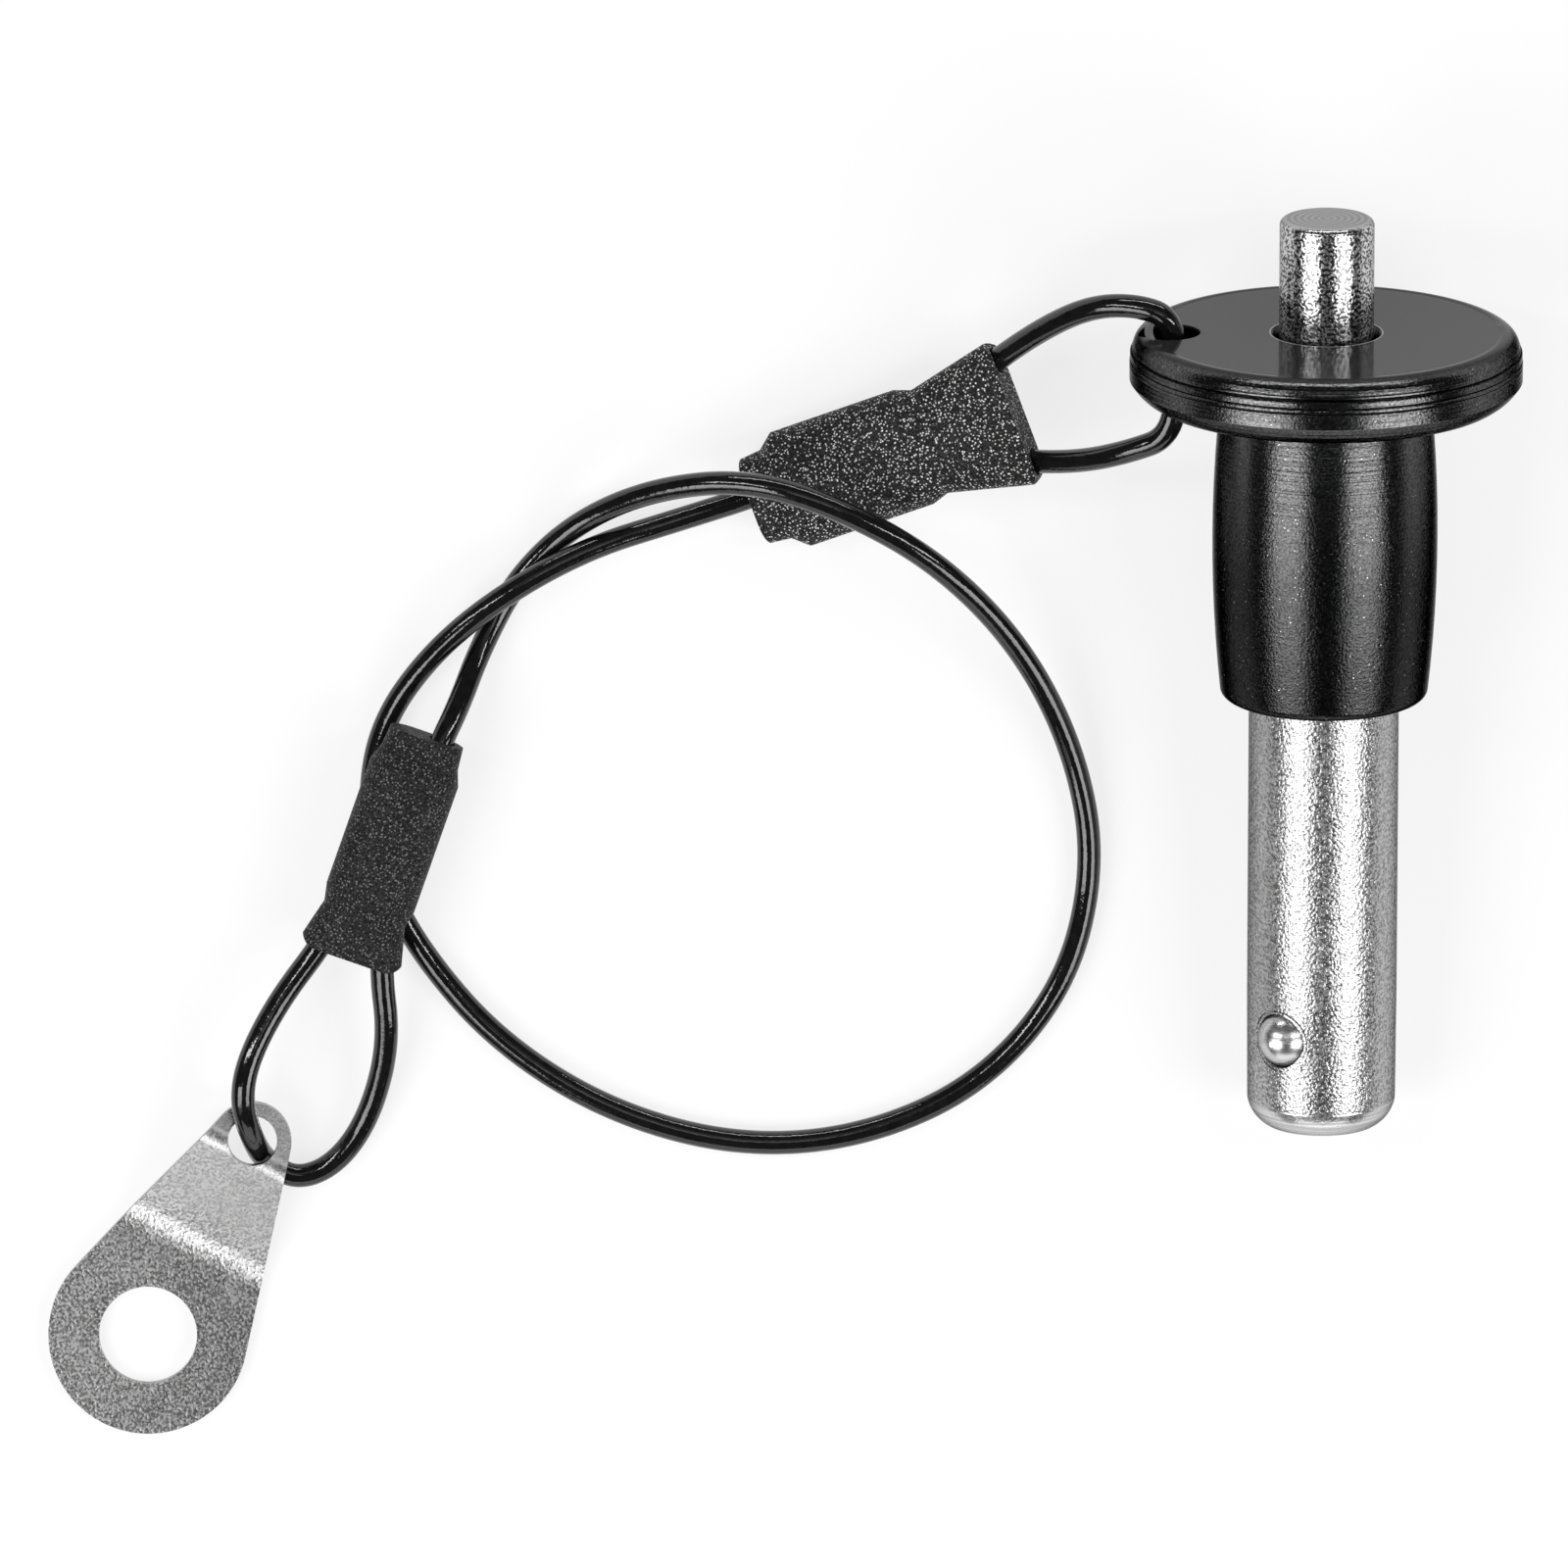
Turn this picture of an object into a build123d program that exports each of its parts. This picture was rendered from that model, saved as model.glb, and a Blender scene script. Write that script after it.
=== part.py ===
from build123d import *
import math
import os

# A ball lock pin that lies on its side, on the rim of its flange and the end of its shank,
# with a coated wire lanyard that joins it to an anchor tab. Millimetres, Z up, pin along Y.

# Shank
shank_diameter = 10.0
grip_length = 20.6
lead_length = 7.35
lead_taper = 0.05
tip_length = 1.65
tip_depth = 1.1
tip_mid = (0.4, 1.0)
tip_wall = 1.2
seat_depth = 0.8
spigot_diameter = 9.2
spigot_end_chamfer = 0.3
socket_depth = 10.0

# Handle
barrel_length = 20.6
barrel_foot_diameter = 13.74
barrel_belly_diameter = 14.98
barrel_neck_diameter = 14.0
barrel_belly_height = 11.5
barrel_foot_round = 0.6
barrel_neck_round = 0.4
flange_diameter = 26.1
flange_thickness = 4.4
flange_top_bevel = 1.55
flange_top_bevel_mid = (0.56, 0.23)
flange_ridges = [(0.2, 0.92), (0.15, 1.0), (0.15, 1.12), (0.25, 1.2), (0.04, 1.3), (0.02, 1.68)]
flange_grooves = [(0.1, 1.8), (0.0, 1.9), (0.0, 2.02), (0.06, 2.1), (0.0, 2.18)]
flange_band_end = 3.15
flange_under_bevel = 1.3
flange_under_bevel_mid = (0.55, 3.85)
lanyard_hole_diameter = 4.15
lanyard_hole_inset = 2.65
handle_sink_depth = 0.35

# Button, plunger and spring
button_diameter = 6.3
button_stand = 7.8
button_round = 0.45
button_travel = 4.0
button_shoulder_width = 1.0
button_shoulder_thickness = 1.0
button_ledge_thickness = 3.25
button_guide_clearance = 0.2
button_stop_gap = 0.05
button_socket_depth = 5.5
spindle_diameter = 4.1
spindle_clearance = 0.05
spindle_end_chamfer = 0.3
spindle_tip_gap = 0.2
spring_wire = 0.8
spring_diameter = 6.6
spring_turns = 6
spring_seat_gap = 0.05
spring_chamber_clearance = 0.15

# Locking balls
ball_diameter = 3.8
ball_standout = 0.95
ball_travel = 1.0
ball_clearance = 0.05
ball_play = 0.15
ball_past_grip = 2.35
ball_turn = 37.0
lip_depth = 0.25
lip_flare = 0.05
lip_width = 0.13
stake_width = 0.12
stake_depth = 0.1
stake_fall = 0.08
cam_length = 3.0
cam_lead = 0.1
cam_waist_length = 2.1

# Lanyard wire, its crimps and its shrunk sleeves
cable_diameter = 1.6
sleeve_wall = 0.45
sleeve_fit = 0.1
sleeve_corner_round = 1.2
sleeve_mouth_slack = 0.3
sleeve_waist_step = 1.2
sleeve_tail_straight = 1.5
sleeve_tail_growth = 0.3
crimp_length = 8.05
crimp_inset = 3.05
pin_crimp_width = 7.0
pin_crimp_height = 3.1
pin_sleeve_length = 19.2
pin_sleeve_tail_width = 6.0
pin_sleeve_tail_height = 3.2
pin_sleeve_waist_width = 7.3
pin_sleeve_mouth_width = 10.3
tab_crimp_width = 5.1
tab_crimp_height = 3.6
tab_sleeve_length = 15.9
tab_sleeve_tail_width = 5.1
tab_sleeve_tail_height = 3.4
tab_sleeve_waist_width = 5.7
tab_sleeve_mouth_width = 7.3

# Anchor tab
tab_thickness = 1.0
tab_large_radius = 6.7
tab_large_hole_diameter = 6.6
tab_small_radius = 2.7
tab_end_distance = 15.05
tab_small_hole_diameter = 3.3
tab_hole_distance = 15.25
tab_bend_distance = 7.2
tab_bend_angle = 20.0
tab_bend_radius = 6.0
tab_crease_distance = 14.4
tab_crease_angle = 36.0
tab_crease_radius = 1.2

# Where the loose ends of the lanyard lie: a point, a compass bearing and a slope
pin_sleeve_start = (-37.8, 10.6, 1.6)
pin_sleeve_bearing = 20.6
pin_sleeve_rise = 14.6
tab_sleeve_start = (-59.8, -4.9, 4.5)
tab_sleeve_bearing = 250.7
tab_sleeve_rise = -2.2
tab_place = (-78.7, -45.9, 0.0)
tab_bearing = 62.2

# The lanyard's route, from the end in the crimp by the pin to the end in the crimp by the tab
cable_route = [
    (-35.4, 10.3, 2.0),
    (-30.9, 12.1, 3.3),
    (-25.9, 13.8, 4.7),
    (-20.1, 13.7, 5.7),
    (-16.3, 14.0, 8.6),
    (-13.2, 14.9, 11.0),
    (-10.2, 16.1, 12.2),
    (-9.9, 20.2, 13.0),
    (-10.2, 24.2, 13.7),
    (-12.7, 25.0, 13.4),
    (-15.7, 24.7, 11.9),
    (-18.9, 22.9, 9.1),
    (-22.5, 20.0, 5.7),
    (-26.7, 16.0, 4.7),
    (-31.6, 14.0, 3.3),
    (-36.8, 11.3, 1.7),
    (-43.0, 9.3, 1.4),
    (-49.2, 7.5, 2.6),
    (-55.3, 4.1, 3.1),
    (-59.8, 0.1, 2.0),
    (-62.9, -4.5, 0.8),
    (-63.8, -9.4, 0.8),
    (-63.1, -14.6, 0.8),
    (-60.4, -19.9, 0.8),
    (-55.2, -26.0, 0.8),
    (-47.8, -30.7, 0.8),
    (-39.2, -33.1, 0.8),
    (-30.7, -32.5, 0.8),
    (-22.7, -28.9, 0.8),
    (-17.0, -22.2, 0.8),
    (-15.1, -13.9, 0.9),
    (-16.5, -6.2, 1.8),
    (-20.1, 1.1, 4.0),
    (-25.6, 7.1, 7.4),
    (-32.2, 10.9, 8.7),
    (-38.4, 12.8, 8.4),
    (-44.8, 11.8, 5.2),
    (-50.0, 9.1, 1.8),
    (-53.9, 5.2, 0.8),
    (-56.3, 0.6, 1.3),
    (-57.7, -3.0, 3.3),
    (-59.0, -5.6, 4.5),
    (-60.9, -10.9, 4.3),
    (-62.5, -16.0, 4.1),
    (-63.0, -20.5, 3.9),
    (-62.4, -25.7, 2.8),
    (-63.7, -30.9, 1.2),
    (-65.9, -34.2, 0.8),
    (-68.6, -35.4, 0.8),
    (-70.8, -34.1, 0.9),
    (-71.7, -31.9, 3.9),
    (-72.3, -29.4, 5.1),
    (-71.8, -26.6, 5.0),
    (-69.8, -22.8, 4.3),
    (-66.9, -19.0, 3.9),
    (-64.6, -15.3, 4.1),
    (-62.9, -10.9, 4.2),
    (-61.6, -6.8, 4.4),
]

# The route points between which a strand runs through a sleeve's mouth
pin_sleeve_strands = [(1, 4), (11, 14)]
tab_sleeve_strands = [(40, 45), (52, 57)]

# Heights along the pin, from the shoulder (0) toward the button (+) and the tip (-)
lead_end = -(grip_length + lead_length)
tip_end = lead_end - tip_length
handle_top = barrel_length + flange_thickness
ball_level = -(grip_length + ball_past_grip)
bore_end = tip_end + tip_wall
ledge_level = handle_top - button_ledge_thickness
button_foot = ledge_level - button_stop_gap - button_shoulder_thickness
button_top = handle_top + button_stand
spindle_top = button_foot + button_socket_depth
spindle_tip = bore_end + spindle_tip_gap + button_travel
spring_foot = socket_depth + spring_seat_gap
spring_length = button_foot - spring_seat_gap - spring_foot

# Radii about the pin's axis
shank_radius = shank_diameter / 2
lead_radius = shank_radius - lead_taper
spigot_radius = spigot_diameter / 2
spindle_radius = spindle_diameter / 2
bore_radius = spindle_radius + spindle_clearance
foot_radius = barrel_foot_diameter / 2
belly_radius = barrel_belly_diameter / 2
neck_radius = barrel_neck_diameter / 2
flange_radius = flange_diameter / 2
button_radius = button_diameter / 2
button_shoulder_radius = button_radius + button_shoulder_width
guide_radius = button_radius + button_guide_clearance
sink_radius = guide_radius + handle_sink_depth
chamber_radius = button_shoulder_radius + spring_chamber_clearance

# Balls: how far their centres stand from the axis, and the plunger that backs them
ball_radius = ball_diameter / 2
ball_rest = shank_radius + ball_standout - ball_radius
ball_hole_radius = ball_radius + ball_clearance
throat_level = shank_radius - lip_depth
throat_radius = math.sqrt(ball_hole_radius**2 - (throat_level - ball_rest) ** 2)
lip_radius = throat_radius + lip_flare
stake_inner_radius = lip_radius + lip_width
stake_outer_radius = stake_inner_radius + stake_width
land_radius = ball_rest - ball_radius - ball_play
waist_radius = ball_rest - ball_travel - ball_radius - ball_clearance

# The pin's lie: its flange rim and the end of its lead touch the surface at once
rim_level = handle_top - flange_band_end
tilt = math.atan2(flange_radius - lead_radius, rim_level - lead_end)
axis_height = lead_radius * math.cos(tilt) - lead_end * math.sin(tilt)
button_reach = (button_top - button_round) * math.cos(tilt) + button_round
button_reach += (button_radius - button_round) * math.sin(tilt)
tip_reach = tip_end * math.cos(tilt) - (lead_radius - tip_depth) * math.sin(tilt)
shoulder_place = (0, -(button_reach + tip_reach) / 2, axis_height)

# Plane through the pin's axis: its x runs across, its y along the axis to the button
lengthwise = Plane(shoulder_place, x_dir=(1, 0, 0), z_dir=(0, -math.sin(tilt), math.cos(tilt)))
pin_axis = Axis(shoulder_place, lengthwise.y_dir)


def crosswise(level):
    """Plane across the pin at a level, facing the button."""
    origin = lengthwise.from_local_coords((0, level, 0))
    return Plane(origin, x_dir=lengthwise.x_dir, z_dir=lengthwise.y_dir)


def ball_direction(turn):
    """Direction from the axis to a ball, turned to the left from the pin's upper side."""
    angle = math.radians(turn)
    return lengthwise.z_dir * math.cos(angle) - lengthwise.x_dir * math.sin(angle)


def ball_section(turn):
    """Plane through a ball hole's axis: its y runs outward along that axis."""
    outward = ball_direction(turn)
    origin = lengthwise.from_local_coords((0, ball_level, 0))
    return Plane(origin, x_dir=lengthwise.y_dir, z_dir=lengthwise.y_dir.cross(outward))


def ball_facing(turn):
    """Plane through the pin's axis that faces a ball."""
    origin = lengthwise.from_local_coords((0, ball_level, 0))
    return Plane(origin, x_dir=lengthwise.y_dir, z_dir=ball_direction(turn))


ball_turns = {"ball_left": ball_turn, "ball_right": ball_turn + 180}


def ball_hole(turn):
    """Radial hole that closes in over the ball, so that the ball can't leave it."""
    section = ball_section(turn)
    clear = shank_radius + ball_standout
    with BuildPart() as hole:
        with BuildSketch(section):
            with BuildLine():
                Polyline((0, 0), (ball_hole_radius, 0), (ball_hole_radius, ball_rest))
                RadiusArc(
                    (ball_hole_radius, ball_rest),
                    (throat_radius, throat_level),
                    -ball_hole_radius,
                )
                Polyline(
                    (throat_radius, throat_level),
                    (lip_radius, shank_radius),
                    (lip_radius, clear),
                    (0, clear),
                    (0, 0),
                )
            make_face()
        revolve(axis=Axis(section.origin, section.y_dir))
    return hole.part


def staking_ring(turn):
    """Shallow ring pressed round a ball hole, which turned its lip inward."""
    with BuildPart() as ring:
        with BuildSketch(ball_facing(turn)):
            Circle(stake_outer_radius)
            Circle(stake_inner_radius, mode=Mode.SUBTRACT)
        extrude(amount=shank_radius + ball_standout)
        floor_radius = shank_radius - stake_depth
        with Locations(crosswise(ball_level)):
            Cone(floor_radius, floor_radius - stake_fall, 2 * ball_diameter, mode=Mode.SUBTRACT)
    return ring.part


with BuildPart() as shank:
    with BuildSketch(lengthwise):
        with BuildLine():
            ThreePointArc(
                (lead_radius, lead_end),
                (lead_radius - tip_mid[0], lead_end - tip_mid[1]),
                (lead_radius - tip_depth, tip_end),
            )
            Polyline(
                (lead_radius - tip_depth, tip_end),
                (0, tip_end),
                (0, socket_depth),
                (spigot_radius - spigot_end_chamfer, socket_depth),
                (spigot_radius, socket_depth - spigot_end_chamfer),
                (spigot_radius, seat_depth),
                (shank_radius, 0),
                (shank_radius, -grip_length),
                (lead_radius, lead_end),
            )
        make_face()
    revolve(axis=pin_axis)
    with Locations(crosswise(socket_depth)):
        Hole(bore_radius, depth=socket_depth - bore_end)
    for turn in ball_turns.values():
        add(ball_hole(turn), mode=Mode.SUBTRACT)
        add(staking_ring(turn), mode=Mode.SUBTRACT)


def rim_point(inset, depth):
    """Point of the flange's section, inward from its edge and down from its top."""
    return (flange_radius - inset, handle_top - depth)


with BuildPart() as handle:
    ridge_points = [rim_point(*step) for step in reversed(flange_ridges + flange_grooves)]
    with BuildSketch(lengthwise):
        with BuildLine():
            Line((0, 0), (foot_radius, 0))
            ThreePointArc(
                (foot_radius, 0),
                (belly_radius, barrel_belly_height),
                (neck_radius, barrel_length),
            )
            Line((neck_radius, barrel_length), rim_point(flange_under_bevel, flange_thickness))
            ThreePointArc(
                rim_point(flange_under_bevel, flange_thickness),
                rim_point(*flange_under_bevel_mid),
                rim_point(0, flange_band_end),
            )
            Polyline(rim_point(0, flange_band_end), *ridge_points)
            ThreePointArc(
                ridge_points[-1],
                rim_point(*flange_top_bevel_mid),
                rim_point(flange_top_bevel, 0),
            )
            Polyline(rim_point(flange_top_bevel, 0), (0, handle_top), (0, 0))
        make_face()
        fillet(vertices().group_by(Axis.Y)[0].sort_by(Axis.X)[-1], barrel_foot_round)
        fillet(vertices().sort_by_distance((neck_radius, barrel_length))[0], barrel_neck_round)
    revolve(axis=pin_axis)
    with BuildSketch(lengthwise):
        with BuildLine():
            Polyline(
                (0, 0),
                (shank_radius, 0),
                (spigot_radius, seat_depth),
                (spigot_radius, socket_depth),
                (chamber_radius, socket_depth),
                (chamber_radius, ledge_level),
                (guide_radius, ledge_level),
                (guide_radius, handle_top - handle_sink_depth),
                (sink_radius, handle_top),
                (0, handle_top),
                close=True,
            )
        make_face()
    revolve(axis=pin_axis, mode=Mode.SUBTRACT)
    with BuildSketch(crosswise(barrel_length)):
        with Locations((lanyard_hole_inset - flange_radius, 0)):
            Circle(lanyard_hole_diameter / 2)
    extrude(amount=flange_thickness, mode=Mode.SUBTRACT)

with BuildPart() as spindle:
    cam_start = ball_level + cam_lead
    waist_start = cam_start + cam_length
    waist_end = waist_start + cam_waist_length
    with BuildSketch(lengthwise):
        with BuildLine():
            Polyline(
                (0, spindle_top),
                (spindle_radius, spindle_top),
                (spindle_radius, waist_end + spindle_radius - waist_radius),
                (waist_radius, waist_end),
                (waist_radius, waist_start),
                (land_radius, cam_start),
                (land_radius, spindle_tip + spindle_end_chamfer),
                (land_radius - spindle_end_chamfer, spindle_tip),
                (0, spindle_tip),
                close=True,
            )
        make_face()
    revolve(axis=pin_axis)

with BuildPart() as button:
    with BuildSketch(lengthwise):
        with BuildLine():
            Polyline(
                (spindle_radius, button_foot),
                (button_shoulder_radius, button_foot),
                (button_shoulder_radius, button_foot + button_shoulder_thickness),
                (button_radius, button_foot + button_shoulder_thickness),
                (button_radius, button_top),
                (0, button_top),
                (0, spindle_top),
                (spindle_radius, spindle_top),
                close=True,
            )
        make_face()
        fillet(vertices().group_by(Axis.Y)[-1].sort_by(Axis.X)[-1], button_round)
    revolve(axis=pin_axis)

with BuildPart() as return_spring:
    spring_base = crosswise(spring_foot)
    with BuildLine() as coil:
        Helix(
            spring_length / spring_turns,
            spring_length,
            spring_diameter / 2,
            center=spring_base.origin,
            direction=spring_base.z_dir,
        )
    with BuildSketch(Plane(coil.line @ 0, z_dir=coil.line % 0)):
        Circle(spring_wire / 2)
    sweep(path=coil.line)
    with BuildSketch(spring_base):
        Circle(chamber_radius)
    extrude(amount=spring_length, mode=Mode.INTERSECT)

balls = {}
for name, turn in ball_turns.items():
    with BuildPart() as ball:
        with Locations(ball_facing(turn).offset(ball_rest)):
            Sphere(ball_radius)
    balls[name] = ball.part


def corner_radii(route):
    """Radius of the arc at each inner point of a route, as large as its two runs allow."""
    radii = []
    for before, here, after in zip(route, route[1:], route[2:]):
        run_in = Vector(here) - Vector(before)
        run_out = Vector(after) - Vector(here)
        half_turn = math.radians(run_in.get_angle(run_out)) / 2
        radii.append(0.45 * min(run_in.length, run_out.length) / math.tan(half_turn))
    return radii


with BuildPart() as lanyard_cable:
    cable_radii = corner_radii(cable_route)
    with BuildLine() as cable_path:
        FilletPolyline(*cable_route, radius=cable_radii)
    with BuildSketch(Plane(cable_path.line @ 0, z_dir=cable_path.line % 0)):
        Circle(cable_diameter / 2)
    sweep(path=cable_path.line)

cable_length = cable_path.wires()[0].length
cable_section = math.pi * cable_diameter**2 / 4
print("cord length", round(cable_length, 1), "smallest radius", round(min(cable_radii), 2))
print("cord radii", [round(radius, 1) for radius in cable_radii])
print("cord volume", round(lanyard_cable.part.volume, 1), "of", round(cable_length * cable_section, 1))


def end_plane(start, bearing, rise):
    """Plane across one end of the lanyard: its z runs along it and its x lies level."""
    turn = math.radians(bearing)
    level = Vector(-math.sin(turn), math.cos(turn), 0)
    forward = Vector(math.cos(turn), math.sin(turn), math.tan(math.radians(rise)))
    return Plane(start, x_dir=level, z_dir=forward)


def crimp(base, width, height):
    """Pressed ferrule with a round end at each side, round both strands of the wire."""
    with BuildPart() as ferrule:
        with BuildSketch(base.offset(crimp_inset)):
            SlotOverall(width, height)
        extrude(amount=crimp_length)
        add(lanyard_cable.part, mode=Mode.SUBTRACT)
    return ferrule.part


def shrunk_tube(base, stations, inset):
    """Closed form of a shrunk tube through stations (distance, width, height), made smaller."""
    with BuildPart() as tube:
        for distance, width, height in stations:
            with BuildSketch(base.offset(distance)):
                SlotOverall(width - 2 * inset, height - 2 * inset)
        loft(ruled=True)
    return tube.part


def strand_room(first, last):
    """Room for one strand of the wire, with a little play, from one route point to another."""
    with BuildPart() as room:
        with BuildLine() as strand:
            FilletPolyline(*cable_route[first : last + 1], radius=cable_radii[first : last - 1])
        with BuildSketch(Plane(strand.line @ 0, z_dir=strand.line % 0)):
            Circle(cable_diameter / 2 + sleeve_fit)
        sweep(path=strand.line)
    return room.part


def sleeve(base, length, tail, grip, waist_width, mouth_width, strands, hollow_from=0):
    """Shrunk sleeve: flat tail, full over the crimp, a waist past it, a mouth shut on its strands.

    It is hollow from one of its stations to the waist, and its strands run through what is shut.
    """
    mouth_height = cable_diameter + 2 * (sleeve_wall + sleeve_mouth_slack)
    crimp_end = crimp_inset + crimp_length
    waist_height = (grip[1] + mouth_height) / 2
    stations = [
        (0, *tail),
        (sleeve_tail_straight, tail[0] + sleeve_tail_growth, tail[1]),
        (crimp_inset - sleeve_wall, *grip),
        (crimp_end + sleeve_wall, *grip),
        (crimp_end + sleeve_wall + sleeve_waist_step, waist_width, waist_height),
        (length, mouth_width, mouth_height),
    ]
    level = Plane(base.origin, x_dir=base.z_dir, z_dir=base.y_dir)
    with BuildPart() as cover:
        add(shrunk_tube(base, stations, 0))
        add(shrunk_tube(base, stations[hollow_from:-1], sleeve_wall), mode=Mode.SUBTRACT)
        for first, last in strands:
            add(strand_room(first, last), mode=Mode.SUBTRACT)
        with BuildSketch(level):
            with Locations((length / 2, 0)):
                RectangleRounded(length, max(grip[0], mouth_width), sleeve_corner_round)
        extrude(amount=grip[1], both=True, mode=Mode.INTERSECT)
    return cover.part


sleeve_allowance = 2 * (sleeve_wall + sleeve_fit)
pin_end = end_plane(pin_sleeve_start, pin_sleeve_bearing, pin_sleeve_rise)
tab_end = end_plane(tab_sleeve_start, tab_sleeve_bearing, tab_sleeve_rise)

with BuildPart() as pin_end_crimp:
    add(crimp(pin_end, pin_crimp_width, pin_crimp_height))

with BuildPart() as tab_end_crimp:
    add(crimp(tab_end, tab_crimp_width, tab_crimp_height))

with BuildPart() as pin_end_sleeve:
    add(
        sleeve(
            pin_end,
            pin_sleeve_length,
            (pin_sleeve_tail_width, pin_sleeve_tail_height),
            (pin_crimp_width + sleeve_allowance, pin_crimp_height + sleeve_allowance),
            pin_sleeve_waist_width,
            pin_sleeve_mouth_width,
            pin_sleeve_strands,
        )
    )

with BuildPart() as tab_end_sleeve:
    add(
        sleeve(
            tab_end,
            tab_sleeve_length,
            (tab_sleeve_tail_width, tab_sleeve_tail_height),
            (tab_crimp_width + sleeve_allowance, tab_crimp_height + sleeve_allowance),
            tab_sleeve_waist_width,
            tab_sleeve_mouth_width,
            tab_sleeve_strands,
            hollow_from=2,
        )
    )

tab_turn = math.radians(tab_bearing)
tab_along = Vector(math.cos(tab_turn), math.sin(tab_turn), 0)
tab_side = Plane(tab_place, x_dir=tab_along, z_dir=tab_along.cross(Vector(0, 0, 1)))
tab_plan = Plane(tab_place, x_dir=tab_along, z_dir=(0, 0, 1))

with BuildPart() as anchor_tab:
    tail_start = -2 * tab_large_radius
    tail_end = tab_end_distance + 2 * tab_small_radius
    crease_height = (tab_crease_distance - tab_bend_distance) * math.tan(math.radians(tab_bend_angle))
    fall = math.tan(math.radians(tab_crease_angle - tab_bend_angle))
    end_height = crease_height - (tail_end - tab_crease_distance) * fall
    with BuildSketch(tab_side):
        with BuildLine():
            FilletPolyline(
                (tail_start, 0),
                (tab_bend_distance, 0),
                (tab_crease_distance, crease_height),
                (tail_end, end_height),
                radius=[tab_bend_radius, tab_crease_radius],
            )
            offset(amount=tab_thickness, side=Side.LEFT)
        make_face()
    extrude(amount=2 * tab_large_radius, both=True)
    with BuildSketch(tab_plan) as outline:
        Circle(tab_large_radius)
        with Locations((tab_end_distance, 0)):
            Circle(tab_small_radius)
        make_hull()
        Circle(tab_large_hole_diameter / 2, mode=Mode.SUBTRACT)
        with Locations((tab_hole_distance, 0)):
            Circle(tab_small_hole_diameter / 2, mode=Mode.SUBTRACT)
    extrude(amount=crease_height + 2 * tab_thickness, mode=Mode.INTERSECT)

handle.part.label = "handle"
shank.part.label = "shank"
spindle.part.label = "spindle"
button.part.label = "button"
return_spring.part.label = "return_spring"
lanyard_cable.part.label = "lanyard_cable"
pin_end_crimp.part.label = "pin_end_crimp"
tab_end_crimp.part.label = "tab_end_crimp"
pin_end_sleeve.part.label = "pin_end_sleeve"
tab_end_sleeve.part.label = "tab_end_sleeve"
anchor_tab.part.label = "anchor_tab"

os.makedirs("parts", exist_ok=True)
export_step(handle.part, "parts/handle.step")
export_step(shank.part, "parts/shank.step")
export_step(spindle.part, "parts/spindle.step")
export_step(button.part, "parts/button.step")
export_step(return_spring.part, "parts/return_spring.step")
export_step(lanyard_cable.part, "parts/lanyard_cable.step")
export_step(pin_end_crimp.part, "parts/pin_end_crimp.step")
export_step(tab_end_crimp.part, "parts/tab_end_crimp.step")
export_step(pin_end_sleeve.part, "parts/pin_end_sleeve.step")
export_step(tab_end_sleeve.part, "parts/tab_end_sleeve.step")
export_step(anchor_tab.part, "parts/anchor_tab.step")
for name, ball_part in balls.items():
    ball_part.label = name
    export_step(ball_part, f"parts/{name}.step")
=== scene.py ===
import math

import bpy
from mathutils import Matrix, Vector


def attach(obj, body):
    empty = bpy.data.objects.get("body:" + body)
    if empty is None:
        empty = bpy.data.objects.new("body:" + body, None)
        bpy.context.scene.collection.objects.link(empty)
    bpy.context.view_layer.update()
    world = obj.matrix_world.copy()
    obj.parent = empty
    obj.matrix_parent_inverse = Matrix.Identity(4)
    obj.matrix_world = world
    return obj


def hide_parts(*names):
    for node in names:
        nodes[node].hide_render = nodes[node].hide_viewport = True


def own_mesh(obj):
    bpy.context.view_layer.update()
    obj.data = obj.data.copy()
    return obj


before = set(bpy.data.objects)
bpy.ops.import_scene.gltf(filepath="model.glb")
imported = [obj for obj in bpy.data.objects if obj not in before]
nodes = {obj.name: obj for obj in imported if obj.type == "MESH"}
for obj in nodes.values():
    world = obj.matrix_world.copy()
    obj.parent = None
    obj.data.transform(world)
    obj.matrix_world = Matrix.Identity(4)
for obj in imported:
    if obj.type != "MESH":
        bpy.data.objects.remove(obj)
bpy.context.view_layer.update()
scene = bpy.context.scene
scene.view_settings.view_transform = "Standard"

# ---------------------------------------------------------------- camera
CAMERA_PLACE = (-0.03595, 0.179615, 1.496255)
CAMERA_LEAN = math.radians(-7.173)  # from straight down
LENS_MM = 516.4
FILM_WIDTH_MM = 36
NEAREST_SEEN = 0.1
FARTHEST_SEEN = 20

camera_data = bpy.data.cameras.new("camera")
camera_data.lens = LENS_MM
camera_data.sensor_width = FILM_WIDTH_MM
camera_data.clip_start = NEAREST_SEEN
camera_data.clip_end = FARTHEST_SEEN
camera = bpy.data.objects.new("camera", camera_data)
camera.location = CAMERA_PLACE
camera.rotation_euler = (CAMERA_LEAN, 0, 0)
scene.collection.objects.link(camera)
scene.camera = camera

# ---------------------------------------------------------------- frame of the pin
# The pin lies on the rim of its flange and the end of its shank, so its axis climbs. Its origin
# is on the axis, at the foot of the handle.
PIN_ORIGIN = Vector((0, -0.0014899, 0.0093729))
PIN_TILT = math.radians(9.2383)
AXIS = Vector((0, math.cos(PIN_TILT), math.sin(PIN_TILT)))  # toward the button
ABOVE = Vector((0, -math.sin(PIN_TILT), math.cos(PIN_TILT)))
SIDE = Vector((1, 0, 0))

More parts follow.
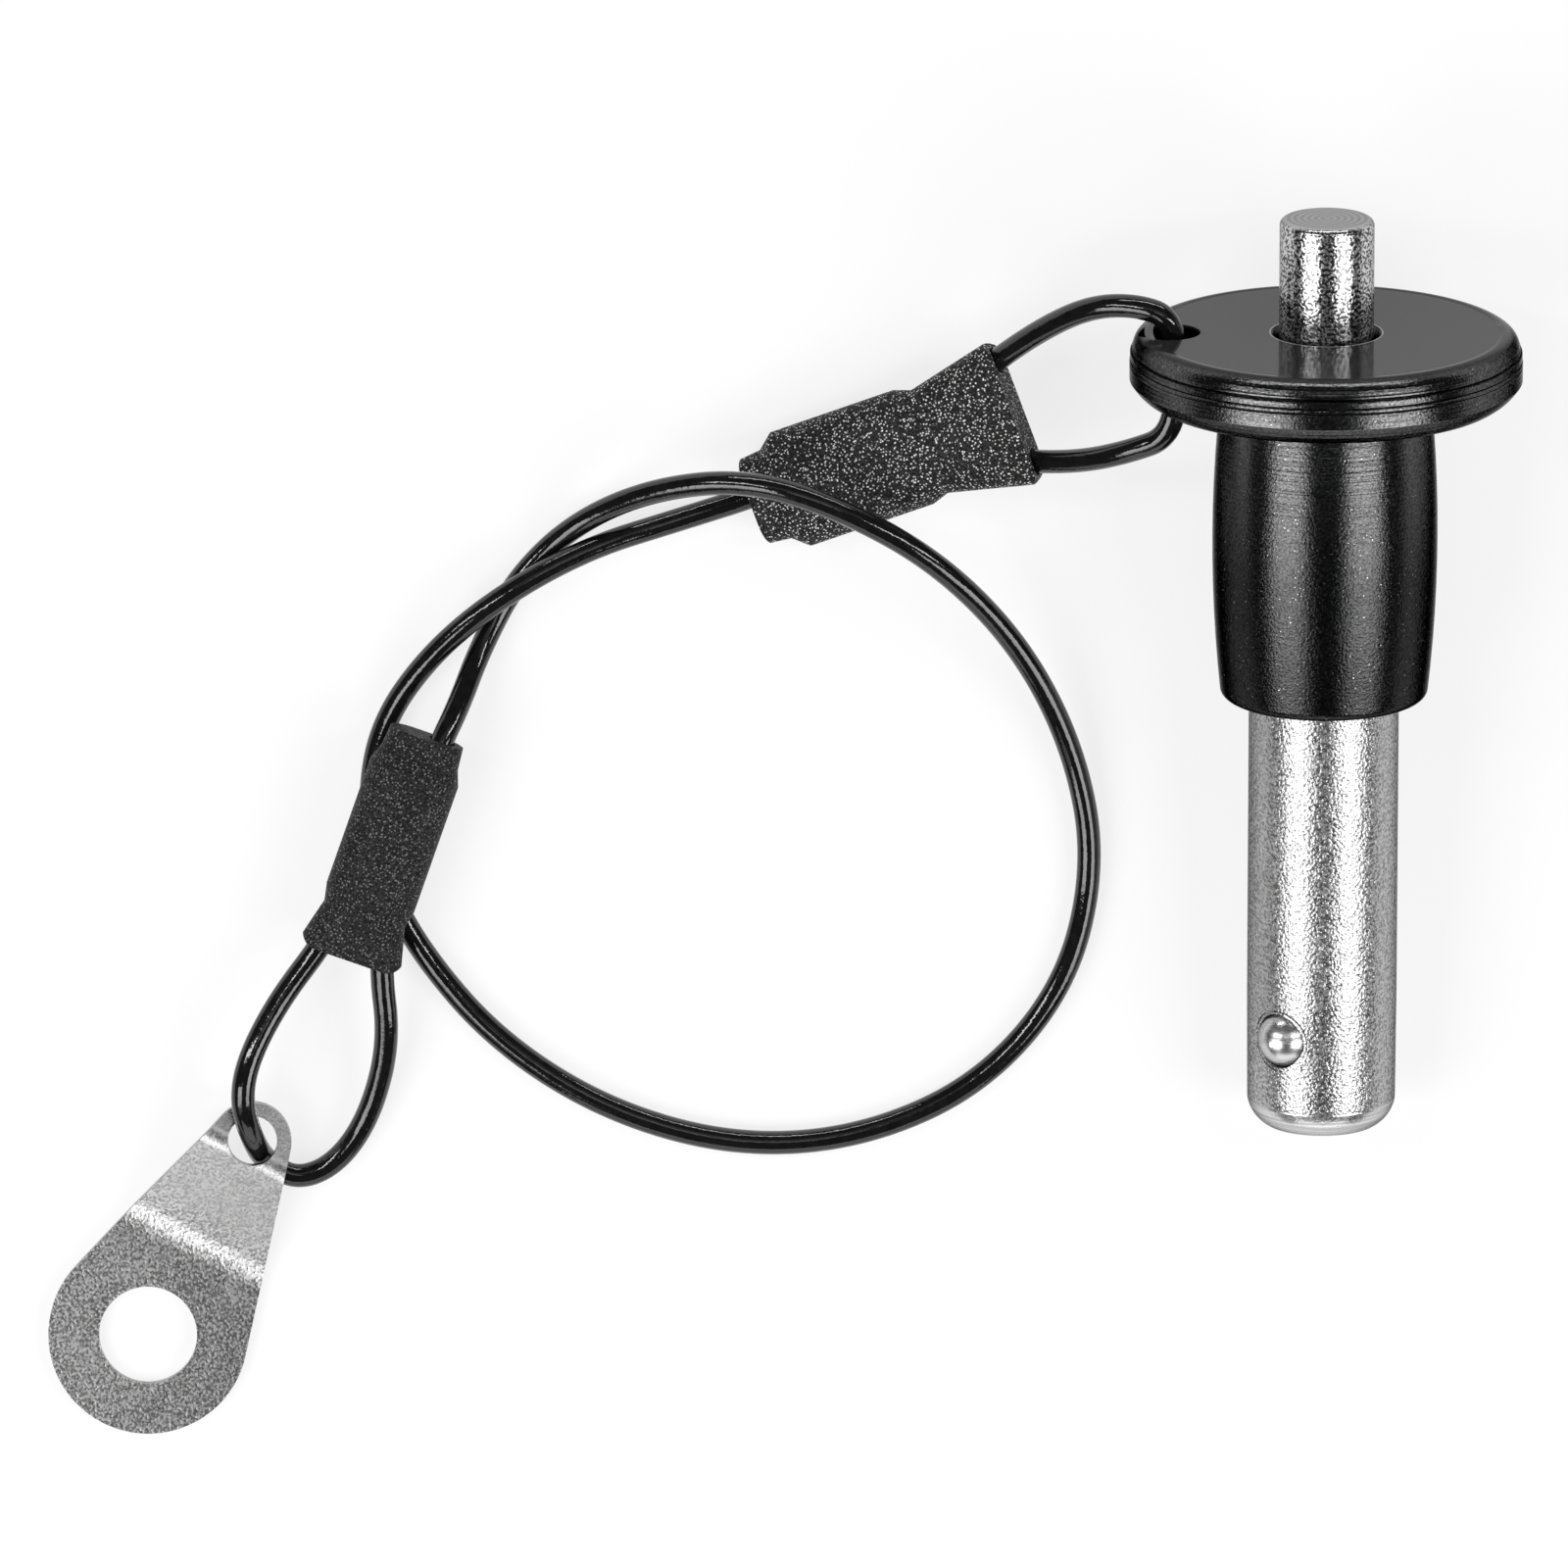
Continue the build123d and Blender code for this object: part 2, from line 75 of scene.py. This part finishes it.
# ---------------------------------------------------------------- lanyard wire
WIRE_DIAMETER = 0.0016
STEPS_A_POINT = 14
TUBE_RESOLUTION = 6
MM_IN_M = 1000
WIRE_POINTS_MM = [
    (-35.4, 10.3, 2.0), (-30.9, 12.1, 3.3), (-25.9, 13.8, 4.7), (-20.1, 13.7, 5.7),
    (-16.3, 14.0, 8.6), (-13.2, 14.9, 11.0), (-10.2, 16.1, 12.2), (-9.9, 20.2, 13.0),
    (-10.2, 24.2, 13.7), (-12.7, 25.0, 13.4), (-15.7, 24.7, 11.9), (-18.9, 22.9, 9.1),
    (-22.5, 20.0, 5.7), (-26.7, 16.0, 4.7), (-31.6, 14.0, 3.3), (-36.8, 11.3, 1.7),
    (-43.0, 9.3, 1.4), (-49.2, 7.5, 2.6), (-55.3, 4.1, 3.1), (-59.8, 0.1, 2.0),
    (-62.9, -4.5, 0.8), (-63.8, -9.4, 0.8), (-63.1, -14.6, 0.8), (-60.4, -19.9, 0.8),
    (-55.2, -26.0, 0.8), (-47.8, -30.7, 0.8), (-39.2, -33.1, 0.8), (-30.7, -32.5, 0.8),
    (-22.7, -28.9, 0.8), (-17.0, -22.2, 0.8), (-15.1, -13.9, 0.9), (-16.5, -6.2, 1.8),
    (-20.1, 1.1, 4.0), (-25.6, 7.1, 7.4), (-32.2, 10.9, 8.7), (-38.4, 12.8, 8.4),
    (-44.8, 11.8, 5.2), (-50.0, 9.1, 1.8), (-53.9, 5.2, 0.8), (-56.3, 0.6, 1.3),
    (-57.7, -3.0, 3.3), (-59.0, -5.6, 4.5), (-60.9, -10.9, 4.3), (-62.5, -16.0, 4.1),
    (-63.0, -20.5, 3.9), (-62.4, -25.7, 2.8), (-63.7, -30.9, 1.2), (-65.9, -34.2, 0.8),
    (-68.6, -35.4, 0.8), (-70.8, -34.1, 0.9), (-71.7, -31.9, 3.9), (-72.3, -29.4, 5.1),
    (-71.8, -26.6, 5.0), (-69.8, -22.8, 4.3), (-66.9, -19.0, 3.9), (-64.6, -15.3, 4.1),
    (-62.9, -10.9, 4.2), (-61.6, -6.8, 4.4),
]

wire_data = bpy.data.curves.new("lanyard_wire", "CURVE")
wire_data.dimensions = "3D"
wire_data.resolution_u = STEPS_A_POINT
wire_data.bevel_depth = 1  # times each point's radius, which is the tube's
wire_data.bevel_resolution = TUBE_RESOLUTION
wire_data.use_fill_caps = True
wire_line = wire_data.splines.new("NURBS")
wire_line.points.add(len(WIRE_POINTS_MM) - 1)
for point, (x, y, z) in zip(wire_line.points, WIRE_POINTS_MM):
    point.co = (x / MM_IN_M, y / MM_IN_M, z / MM_IN_M, 1)
    point.radius = WIRE_DIAMETER / 2
wire_line.order_u = 3
wire_line.use_endpoint_u = True
wire = bpy.data.objects.new("lanyard_wire", wire_data)
scene.collection.objects.link(wire)
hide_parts("lanyard_cable")
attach(wire, "pin")

coil = bpy.data.objects.new("return_coil", nodes["return_spring"].data.copy())
scene.collection.objects.link(coil)
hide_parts("return_spring")
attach(coil, "pin")
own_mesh(coil)

# ---------------------------------------------------------------- floor, lamps, room
FLOOR_REACH = 4
SIDE_TURN = 40
SIDE_DISTANCE = 0.42
SIDE_WIDTH = 0.257
END_DISTANCE = 0.45
ROOM_LIGHT = 0.06

corners = [(-1, -1), (1, -1), (1, 1), (-1, 1)]
floor_mesh = bpy.data.meshes.new("floor")
floor_mesh.from_pydata(
    [(x * FLOOR_REACH, y * FLOOR_REACH, 0) for x, y in corners], [], [(0, 1, 2, 3)]
)
floor = bpy.data.objects.new("floor", floor_mesh)
scene.collection.objects.link(floor)


def softbox(name, turn, lean, distance, along, size, radiance):
    """A rectangular lamp that faces the pin's axis.

    turn is round the axis and lean toward the button, both in degrees from straight above.
    along is where on the axis it faces, and size is (across the axis, along it).
    """
    upright = ABOVE * math.cos(math.radians(turn)) + SIDE * math.sin(math.radians(turn))
    outward = upright * math.cos(math.radians(lean)) + AXIS * math.sin(math.radians(lean))
    across = AXIS.cross(upright)
    data = bpy.data.lights.new(name, "AREA")
    data.shape = "RECTANGLE"
    data.size, data.size_y = size
    data.energy = radiance * math.pi * size[0] * size[1]
    lamp = bpy.data.objects.new(name, data)
    placed = Matrix((across, outward.cross(across), outward)).transposed().to_4x4()
    placed.translation = PIN_ORIGIN + outward * distance + AXIS * along
    lamp.matrix_world = placed
    scene.collection.objects.link(lamp)


def side_softbox(name, turn, along, length, radiance):
    """One of the lamps beside the pin, which its bright bands mirror."""
    softbox(name, turn, 0, SIDE_DISTANCE, along, (SIDE_WIDTH, length), radiance)


def end_softbox(name, lean, size, radiance):
    """One of the lamps behind the button or before the tip, which light the end faces."""
    softbox(name, 0, lean, END_DISTANCE, 0, size, radiance)


for side, turn in (("right", SIDE_TURN), ("left", -SIDE_TURN)):
    side_softbox("softbox_high_" + side, turn, along=0.150, length=0.04, radiance=14.0)
    side_softbox("softbox_" + side, turn, along=-0.065, length=0.10, radiance=6.3)
    side_softbox("softbox_low_" + side, turn, along=-0.165, length=0.10, radiance=5.1)
side_softbox("softbox_tab", -SIDE_TURN, along=-0.265, length=0.10, radiance=0.8)
softbox("softbox_middle", 0, 0, SIDE_DISTANCE, along=0.130, size=(0.14, 0.08), radiance=1.3)
end_softbox("softbox_back", lean=30, size=(0.40, 0.12), radiance=0.3)
end_softbox("strip_back", lean=82, size=(0.50, 0.035), radiance=12.0)
end_softbox("softbox_front", lean=-67, size=(0.50, 0.20), radiance=1.3)

world = bpy.data.worlds.new("room")
scene.world = world
world.use_nodes = True
world.node_tree.nodes["Background"].inputs["Color"].default_value = (1, 1, 1, 1)
world.node_tree.nodes["Background"].inputs["Strength"].default_value = ROOM_LIGHT

# ---------------------------------------------------------------- materials
# Where one finish gives way to the next, and where the barrel's painted highlight grows, in
# metres: heights along the pin from its origin, and heights of the tab over the floor.
TIP_LEVELS = (-0.02785, -0.02765)
BARREL_TOP_LEVELS = (0.008, 0.016)
# Painted highlight: the barrel's colour brightens between these heights, toward the flange
BARREL_PAINTED_SHEEN_LEVELS = (0.009, 0.019)
FLANGE_RIM_LEVELS = (0.0225, 0.0235)
FLANGE_TOP_LEVELS = (0.0248, 0.0250)
BUTTON_END_LEVELS = (0.0325, 0.0328)
TAB_BEND_HEIGHTS = (0.0012, 0.0020)

# The worn edge round the button, in the flange's top, painted lighter as a highlight
WORN_AND_HIGHLIGHT_EDGE_RADIUS = 0.00374
WORN_AND_HIGHLIGHT_EDGE_HALF_WIDTH = 0.00005

RING_WAVES = 14000  # of the button's end, in radians a metre
NOISE_ROUGHNESS = 0.6
NOISE_SPAN = (0.3, 0.7)  # holds nearly all of a noise's values
NARROW_SPAN = (0.35, 0.65)  # holds most of them
FLOOR_OWN_WHITE = 0.75  # share of the floor's even white in what camera and gloss see


def grey(value):
    return (value, value, value, 1)


class Maker:
    """Short calls for building one material's node tree. Lengths are in metres."""

    def __init__(self, name, **sockets):
        self.material = bpy.data.materials.new(name)
        self.material.use_nodes = True
        self.tree = self.material.node_tree
        self.shader = self.tree.nodes["Principled BSDF"]
        for key, value in sockets.items():
            self.shader.inputs[key.replace("_", " ")].default_value = value
        self.coordinates = self.node("ShaderNodeTexCoord").outputs["Object"]

    def link(self, output, socket):
        self.tree.links.new(output, socket)

    def feed(self, socket, value):
        """Links socket to value if that is a node's output, and else sets it to value."""
        if hasattr(value, "is_linked"):
            self.link(value, socket)
        else:
            socket.default_value = value

    def node(self, kind, **inputs):
        made = self.tree.nodes.new(kind)
        for key, value in inputs.items():
            self.feed(made.inputs[key], value)
        return made

    def pin_coordinates(self, scale=(1, 1, 1)):
        """x across the pin, y along its axis to the button and z up from it, times scale."""
        turn = Matrix.Rotation(-PIN_TILT, 3, "X")
        moved = self.node("ShaderNodeMapping", Vector=self.coordinates)
        moved.inputs["Rotation"].default_value = (-PIN_TILT, 0, 0)
        moved.inputs["Location"].default_value = -(turn @ PIN_ORIGIN)
        scaled = self.node("ShaderNodeVectorMath")
        scaled.operation = "MULTIPLY"
        self.feed(scaled.inputs[0], moved.outputs[0])
        self.feed(scaled.inputs[1], scale)
        return scaled.outputs[0]

    def parts(self, vector):
        """The x, y and z of vector."""
        return self.node("ShaderNodeSeparateXYZ", Vector=vector).outputs

    def noise(self, vector, scale, detail):
        made = self.node(
            "ShaderNodeTexNoise",
            Vector=vector,
            Scale=scale,
            Detail=detail,
            Roughness=NOISE_ROUGHNESS,
        )
        return made.outputs["Fac"]

    def spots(self, vector, scale):
        made = self.node("ShaderNodeTexVoronoi", Vector=vector, Scale=scale)
        return made.outputs["Distance"]

    def ramp(self, value, span, to=(0, 1)):
        """Goes evenly from to[0] to to[1] as value goes through span, and stays there past it."""
        made = self.node("ShaderNodeMapRange", Value=value)
        ends = ("From Min", "From Max", "To Min", "To Max")
        for name, end in zip(ends, (*span, *to)):
            made.inputs[name].default_value = end
        return made.outputs[0]

    def math(self, operation, *values):
        made = self.node("ShaderNodeMath")
        made.operation = operation
        for socket, value in zip(made.inputs, values):
            self.feed(socket, value)
        return made.outputs[0]

    def times(self, first, second):
        return self.math("MULTIPLY", first, second)

    def from_axis(self, place):
        """Distance from the pin's axis of a place that is split into x, y and z."""
        across = self.times(place[0], place[0])
        upward = self.times(place[2], place[2])
        return self.math("SQRT", self.math("ADD", across, upward))

    def mix(self, factor, dark, light):
        made = self.node("ShaderNodeMix")
        made.data_type = "RGBA"
        factor_socket, dark_socket, light_socket = (made.inputs[i] for i in (0, 6, 7))
        self.feed(factor_socket, factor)
        self.feed(dark_socket, dark)
        self.feed(light_socket, light)
        return made.outputs[2]

    def greys(self, value, span, dark, light):
        """Goes from the grey dark to the grey light as value goes through span."""
        return self.mix(self.ramp(value, span), grey(dark), grey(light))

    def bump(self, height, distance, strength=1, before=None):
        """Bump of the shader's surface, over the bump before if there is one."""
        made = self.node("ShaderNodeBump", Height=height, Distance=distance, Strength=strength)
        if before is not None:
            self.link(before, made.inputs["Normal"])
        self.link(made.outputs[0], self.shader.inputs["Normal"])
        return made.outputs[0]

    def color(self, output):
        self.link(output, self.shader.inputs["Base Color"])

    def rough(self, output):
        self.link(output, self.shader.inputs["Roughness"])


def floor_paint():
    """White floor: it keeps the shadows, and camera, gloss and glass also see its even white."""
    m = Maker("floor_paint", Roughness=0.9, Base_Color=grey(0.94))
    path = m.node("ShaderNodeLightPath").outputs
    seen = m.math("MAXIMUM", path["Is Camera Ray"], path["Is Glossy Ray"])
    seen = m.math("MAXIMUM", seen, path["Is Transmission Ray"])
    white = m.node("ShaderNodeEmission")
    blend = m.node("ShaderNodeMixShader")
    m.link(m.times(seen, FLOOR_OWN_WHITE), blend.inputs[0])
    m.link(m.shader.outputs[0], blend.inputs[1])
    m.link(white.outputs[0], blend.inputs[2])
    m.link(blend.outputs[0], m.tree.nodes["Material Output"].inputs["Surface"])
    return m.material


def ground_steel():
    """Shank: ground steel with a fine sparkling grain, and turned lines on its tip."""
    m = Maker("ground_steel", Metallic=1, Specular_Tint=grey(0.2))
    grain = m.noise(m.pin_coordinates(), scale=4900, detail=1)
    cloud = m.noise(m.pin_coordinates(), scale=400, detail=3)
    lines = m.noise(m.pin_coordinates((0.1, 10, 0.1)), scale=700, detail=2)
    on_tip = m.ramp(m.parts(m.pin_coordinates())[1], TIP_LEVELS, to=(1, 0))

    speckled = m.greys(grain, (0.36, 0.60), dark=0.30, light=0.58)
    turned = m.greys(lines, NARROW_SPAN, dark=0.46, light=0.80)
    m.color(m.mix(on_tip, speckled, turned))
    fine_gloss = m.ramp(grain, NOISE_SPAN, to=(0.22, 0.31))
    m.rough(m.math("ADD", fine_gloss, m.ramp(cloud, NOISE_SPAN, to=(-0.02, 0.03))))
    m.bump(m.times(grain, m.ramp(on_tip, (0, 1), to=(1, 0.3))), distance=0.00006)
    return m.material


def turned_steel():
    """Button: grained like the shank, with turned rings round the middle of its end."""
    m = Maker("turned_steel", Metallic=1, Specular_Tint=grey(0.6))
    grain = m.noise(m.pin_coordinates(), scale=5400, detail=0)
    place = m.parts(m.pin_coordinates())
    on_end = m.ramp(place[1], BUTTON_END_LEVELS)
    rings = m.math("SINE", m.times(m.from_axis(place), RING_WAVES))

    speckled = m.greys(grain, (0.40, 0.56), dark=0.10, light=0.66)
    m.color(m.mix(on_end, speckled, m.greys(rings, (-1, 1), dark=0.31, light=0.45)))
    m.rough(m.ramp(grain, NOISE_SPAN, to=(0.17, 0.27)))
    ringed = m.bump(m.times(rings, on_end), distance=0.000006)
    grained = m.times(grain, m.ramp(on_end, (0, 1), to=(1, 0.3)))
    m.bump(grained, distance=0.00002, before=ringed)
    return m.material


def black_anodised():
    """Handle: black anodising with pale specks, turned lines most near the flange, and a painted
    highlight that brightens the barrel toward the flange.

    Its flange's top is even and glossy, and mirrors the button. The edge round the button is
    painted lighter, partly as wear and partly as a painted highlight.
    """
    m = Maker(
        "black_anodised", Metallic=1, Specular_Tint=grey(0.25), Specular_IOR_Level=0.06
    )
    grain = m.noise(m.pin_coordinates(), scale=5800, detail=2)
    specks = m.noise(m.pin_coordinates(), scale=6500, detail=1)
    lines = m.noise(m.pin_coordinates((0.02, 10, 0.02)), scale=480, detail=2)
    place = m.parts(m.pin_coordinates())
    on_barrel_top = m.ramp(place[1], BARREL_TOP_LEVELS)
    on_flange_top = m.ramp(place[1], FLANGE_TOP_LEVELS)
    off_flange_top = m.math("SUBTRACT", 1, on_flange_top)
    m.link(off_flange_top, m.shader.inputs["Metallic"])

    # Painted highlight: the barrel's colour is scaled down toward the foot and up toward the
    # flange
    painted_sheen = m.ramp(place[1], BARREL_PAINTED_SHEEN_LEVELS, to=(0.57, 1.25))
    value = m.times(painted_sheen, m.ramp(grain, NARROW_SPAN, to=(0.038, 0.088)))
    plain = m.mix(value, grey(0), grey(1))
    is_speck = m.times(m.ramp(specks, (0.72, 0.78)), off_flange_top)
    flecked = m.mix(is_speck, plain, grey(0.40))
    evened = m.mix(on_flange_top, flecked, grey(0.02))
    # Worn edge round the button, painted lighter as a highlight
    on_worn_and_highlight_edge = m.times(
        on_flange_top,
        m.math("COMPARE", m.from_axis(place), WORN_AND_HIGHLIGHT_EDGE_RADIUS, WORN_AND_HIGHLIGHT_EDGE_HALF_WIDTH),
    )
    m.color(m.mix(on_worn_and_highlight_edge, evened, grey(0.35)))

    rim_gloss = m.ramp(place[1], FLANGE_RIM_LEVELS, to=(0, 0.04))
    gloss = m.math("ADD", rim_gloss, m.times(on_flange_top, 0.04))
    m.rough(m.math("SUBTRACT", m.ramp(grain, NOISE_SPAN, to=(0.13, 0.22)), gloss))
    lined = m.bump(
        m.times(lines, m.ramp(on_barrel_top, (0, 1), to=(0.2, 1))), distance=0.00004
    )
    share_on_barrel = m.ramp(on_barrel_top, (0, 1), to=(1, 0.7))
    share_on_flange = m.ramp(on_flange_top, (0, 1), to=(1, 0.1))
    grained = m.times(grain, m.times(share_on_barrel, share_on_flange))
    m.bump(grained, distance=0.000028, before=lined)
    return m.material


def chrome():
    """Balls: polished, with fine wear scratches."""
    m = Maker("chrome", Metallic=1, Specular_Tint=grey(0.2))
    stretched = m.node("ShaderNodeMapping", Vector=m.coordinates, Scale=(1, 6, 1))
    scratches = m.noise(stretched.outputs[0], scale=1800, detail=2)
    m.color(m.greys(scratches, NOISE_SPAN, dark=0.55, light=0.72))
    m.rough(m.ramp(scratches, NOISE_SPAN, to=(0.22, 0.34)))
    return m.material


def shrunk_tube(name, speck):
    """Sleeves: matte black polymer with a dense speckle, whose spots are the grey speck."""
    m = Maker(name, Specular_IOR_Level=0.15)
    fine = m.noise(m.coordinates, scale=7000, detail=1)
    soft = m.noise(m.coordinates, scale=300, detail=3)
    spots = m.spots(m.coordinates, scale=5000)

    share = m.times(m.ramp(fine, (0.40, 0.65)), m.ramp(soft, NOISE_SPAN, to=(0.6, 1)))
    base = m.mix(share, grey(0.003), grey(0.036))
    near_spot = m.ramp(spots, (0.18, 0.36), to=(1, 0))
    is_speck = m.times(near_spot, m.ramp(fine, (0.35, 0.6), to=(0.3, 1)))
    m.color(m.mix(is_speck, base, grey(speck)))
    m.rough(m.ramp(fine, NOISE_SPAN, to=(0.7, 0.5)))
    m.bump(fine, distance=0.00002)
    return m.material


def cable_coat():
    """Lanyard wire: glossy black coating with a slight ripple."""
    m = Maker("cable_coat", Specular_IOR_Level=0.6)
    fine = m.noise(m.coordinates, scale=1500, detail=3)
    m.color(m.greys(fine, NOISE_SPAN, dark=0.003, light=0.007))
    m.rough(m.ramp(fine, NOISE_SPAN, to=(0.05, 0.12)))
    m.bump(fine, distance=0.00004, strength=0.5)
    return m.material


def tab_steel():
    """Anchor tab: pressed sheet with a fine grain, smoother past its bend."""
    m = Maker("tab_steel", Metallic=1, Specular_Tint=grey(0.6))
    grain = m.noise(m.coordinates, scale=5200, detail=1)
    cloud = m.noise(m.coordinates, scale=350, detail=3)
    past_bend = m.ramp(m.parts(m.coordinates)[2], TAB_BEND_HEIGHTS)

    dark = m.mix(past_bend, grey(0.34), grey(0.46))
    light = m.mix(past_bend, grey(0.68), grey(0.60))
    m.color(m.mix(m.ramp(grain, (0.38, 0.62)), dark, light))
    fine_gloss = m.ramp(grain, NOISE_SPAN, to=(0.23, 0.31))
    m.rough(m.math("ADD", fine_gloss, m.ramp(cloud, NOISE_SPAN, to=(-0.02, 0.02))))
    m.bump(m.times(grain, m.ramp(past_bend, (0, 1), to=(1, 0.3))), distance=0.000016)
    return m.material


def plain_steel(name, value, roughness):
    """The hidden metal pieces: an even grey, a fifth darker in its grain."""
    m = Maker(name, Metallic=1)
    grain = m.noise(m.coordinates, scale=2500, detail=3)
    m.color(m.greys(grain, NOISE_SPAN, dark=value * 0.8, light=value))
    m.rough(m.ramp(grain, NOISE_SPAN, to=roughness))
    m.bump(grain, distance=0.00002, strength=0.3)
    return m.material


# ---------------------------------------------------------------- dressing
def dress(obj, material):
    obj.data.materials.clear()
    obj.data.materials.append(material)


ball_chrome = chrome()
inner = plain_steel("inner_steel", 0.55, roughness=(0.25, 0.4))
ferrule = plain_steel("crimp_metal", 0.6, roughness=(0.3, 0.45))

dress(floor, floor_paint())
dress(wire, cable_coat())
dress(nodes["shank"], ground_steel())
dress(nodes["button"], turned_steel())
dress(nodes["spindle"], inner)
dress(coil, inner)
dress(nodes["ball_left"], ball_chrome)
dress(nodes["ball_right"], ball_chrome)
dress(nodes["handle"], black_anodised())
dress(nodes["pin_end_sleeve"], shrunk_tube("shrunk_tube_pin_end", speck=0.95))
dress(nodes["tab_end_sleeve"], shrunk_tube("shrunk_tube_tab_end", speck=0.22))
dress(nodes["pin_end_crimp"], ferrule)
dress(nodes["tab_end_crimp"], ferrule)
dress(nodes["anchor_tab"], tab_steel())
